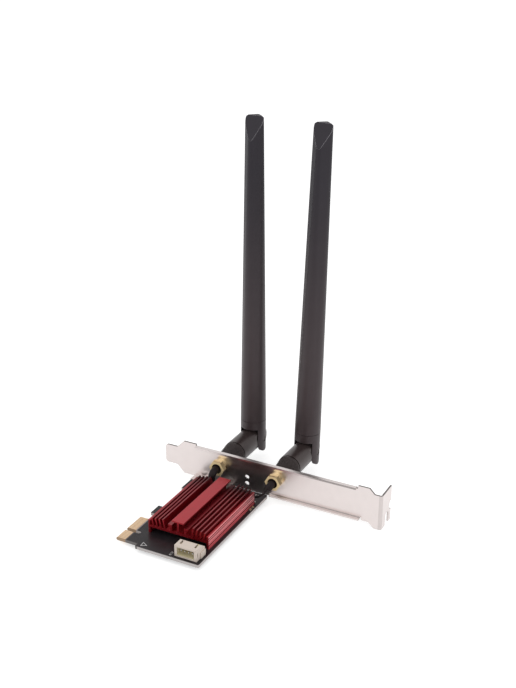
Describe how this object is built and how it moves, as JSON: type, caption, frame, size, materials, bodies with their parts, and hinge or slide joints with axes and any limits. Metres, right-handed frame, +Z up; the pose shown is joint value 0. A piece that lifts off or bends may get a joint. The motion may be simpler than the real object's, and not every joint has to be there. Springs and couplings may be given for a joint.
{
  "type": "wireless network expansion card",
  "caption": "Short expansion card with edge contacts, red finned heat sink, pin header and full-height slotted bracket, with long antennas that swivel and fold at a knuckle hinge.",
  "frame": {"origin": "middle of the edge connector's key notch, at the contact tips, half-way through the board", "axes": "+X from the contact tips to the bracket's screw tab, +Y from the key notch out through the bracket, +Z up from the board on its component side, along the antennas at rest"},
  "size_m": [0.12, 0.1122, 0.1841],
  "materials": {
    "board_mask": "black solder mask over a glass-fibre board",
    "contact_gold": "gold plated",
    "bracket_steel": "bright plated sheet",
    "screw_steel": "plated",
    "heat_sink_red": "red anodised",
    "pad_grey": "soft and matte",
    "module_board": "green solder mask",
    "shield_tin": "tinned sheet",
    "connector_gold": "gold plated",
    "lead_black": "smooth cable jacket",
    "sleeve_black": "shrunk sleeve",
    "jack_gold": "gold plated",
    "insulator_white": "natural white",
    "header_cream": "moulded",
    "pin_tin": "tinned",
    "chip_body": "fired ceramic",
    "coupling_black": "moulded knurl",
    "barrel_black": "satin",
    "antenna_black": "fine matte texture",
    "hinge_dark": "satin",
    "radiator_brass": "drawn"
  },
  "bodies": {
    "card": {"pcb": "board_mask", "edge_contacts": "contact_gold", "bracket": "bracket_steel", "bracket_screws": "screw_steel", "heat_sink": "heat_sink_red", "thermal_pad": "pad_grey", "radio_board": "module_board", "radio_shield": "shield_tin", "coax_sockets": "connector_gold", "left_coax_plug": "connector_gold", "right_coax_plug": "connector_gold", "left_lead": "lead_black", "right_lead": "lead_black", "left_sleeve": "sleeve_black", "right_sleeve": "sleeve_black", "left_jack": "jack_gold", "right_jack": "jack_gold", "jack_cores": "insulator_white", "jack_pins": "contact_gold", "jack_nuts": "jack_gold", "usb_header": "header_cream", "header_pins": "pin_tin", "board_parts": "chip_body"},
    "left_coupling": {"left_coupling_nut": "coupling_black"},
    "left_base": {"left_barrel": "barrel_black", "left_contact": "contact_gold"},
    "left_antenna": {"left_knuckle": "antenna_black", "left_hinge_pin": "hinge_dark", "left_mast": "antenna_black", "left_radiator": "radiator_brass"},
    "right_coupling": {"right_coupling_nut": "coupling_black"},
    "right_base": {"right_barrel": "barrel_black", "right_contact": "contact_gold"},
    "right_antenna": {"right_knuckle": "antenna_black", "right_hinge_pin": "hinge_dark", "right_mast": "antenna_black", "right_radiator": "radiator_brass"}
  },
  "joints": [
    {"name": "left_coupling_spin", "type": "hinge", "parent": "card", "child": "left_coupling", "pos_m": [0.01845, 0.069, 0.0105], "axis": [0, 1, 0], "continuous": true},
    {"name": "left_swivel", "type": "hinge", "parent": "card", "child": "left_base", "pos_m": [0.01845, 0.069, 0.0105], "axis": [0, 1, 0], "range_deg": [-180, 2.5]},
    {"name": "left_tilt", "type": "hinge", "parent": "left_base", "child": "left_antenna", "pos_m": [0.01845, 0.09511, 0.0105], "axis": [1, 0, 0], "range_deg": [-90, 0]},
    {"name": "right_coupling_spin", "type": "hinge", "parent": "card", "child": "right_coupling", "pos_m": [0.04985, 0.069, 0.0105], "axis": [0, 1, 0], "continuous": true},
    {"name": "right_swivel", "type": "hinge", "parent": "card", "child": "right_base", "pos_m": [0.04985, 0.069, 0.0105], "axis": [0, 1, 0], "range_deg": [-4, 180]},
    {"name": "right_tilt", "type": "hinge", "parent": "right_base", "child": "right_antenna", "pos_m": [0.04985, 0.09511, 0.0105], "axis": [0.9997, 0, -0.0262], "range_deg": [-90, 0]}
  ]
}
